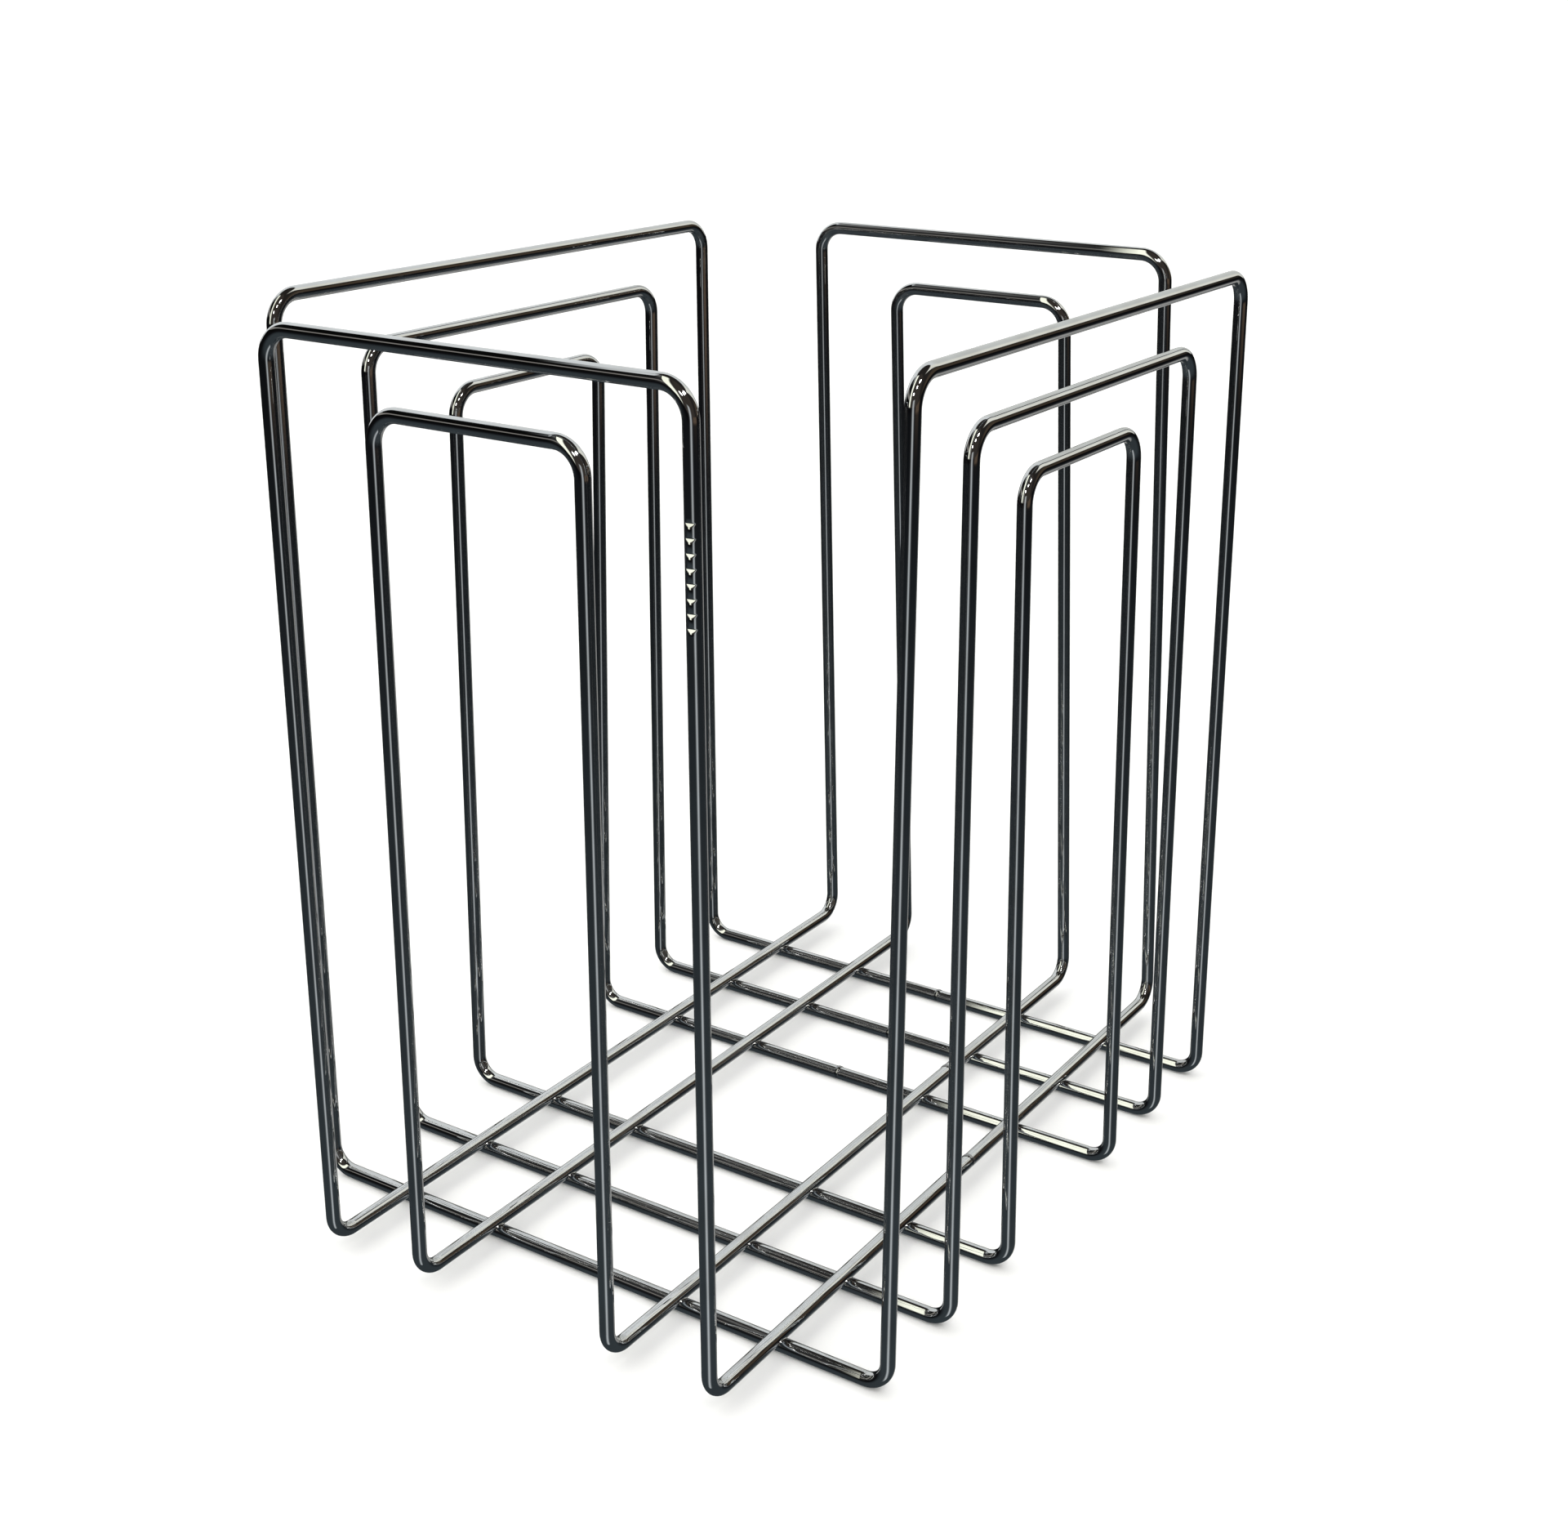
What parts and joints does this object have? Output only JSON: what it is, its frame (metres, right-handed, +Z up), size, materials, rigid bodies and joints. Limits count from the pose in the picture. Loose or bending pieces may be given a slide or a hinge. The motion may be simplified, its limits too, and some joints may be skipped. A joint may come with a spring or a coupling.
{
  "type": "magazine rack",
  "caption": "Open magazine rack of bent chrome wire, with nested arches for walls and a crossed-wire floor, free-standing.",
  "frame": {"origin": "middle of the footprint, on the floor under the lowest wires", "axes": "+Z up, X across the short side of the footprint, Y along its long side; the two end arches at +Y lean inwards"},
  "size_m": [0.249, 0.3275, 0.328],
  "materials": {
    "chrome_wire": "bright chrome plating, polished",
    "weld_metal": "chrome plated over the weld, slightly rough"
  },
  "bodies": {
    "root": {"side_loop_outer": "chrome_wire", "side_loop_middle": "chrome_wire", "side_loop_inner": "chrome_wire", "end_loop_outer": "chrome_wire", "end_loop_inner": "chrome_wire", "cross_welds": "weld_metal", "butt_welds": "weld_metal"}
  },
  "joints": []
}
